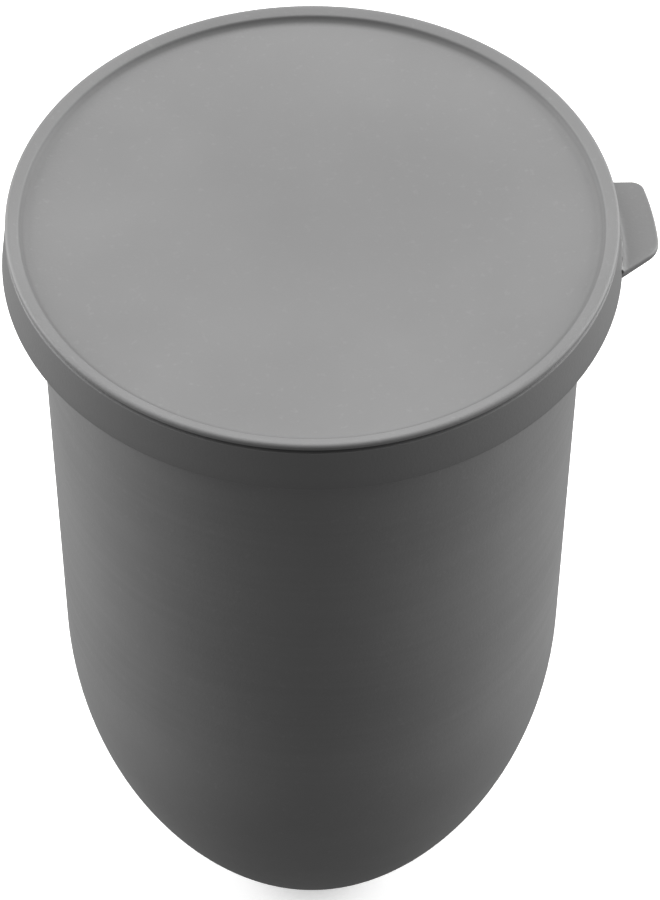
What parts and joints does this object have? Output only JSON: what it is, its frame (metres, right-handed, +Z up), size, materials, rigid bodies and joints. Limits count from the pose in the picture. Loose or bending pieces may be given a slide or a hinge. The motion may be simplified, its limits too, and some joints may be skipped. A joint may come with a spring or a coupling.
{
  "type": "rock tumbler barrel",
  "caption": "Bullet-shaped rubber tumbling barrel with inner lifter ribs, closed by a round push-fit lid with a raised lip and a pull tab.",
  "frame": {"origin": "centre of the barrel's foot, on the surface it stands on", "axes": "+Z up along the barrel's axis, +X towards the lid's pull tab"},
  "size_m": [0.108, 0.102, 0.16],
  "materials": {
    "barrel_rubber": "matte",
    "lid_rubber": "matte",
    "seal_rubber": "matte"
  },
  "bodies": {
    "barrel": {"barrel": "barrel_rubber"},
    "lid": {"lid": "lid_rubber", "lid_seal": "seal_rubber"}
  },
  "joints": [
    {"name": "lid_lift", "type": "slide", "parent": "barrel", "child": "lid", "axis": [0, 0, 1], "range_m": [0, 0.1]}
  ]
}
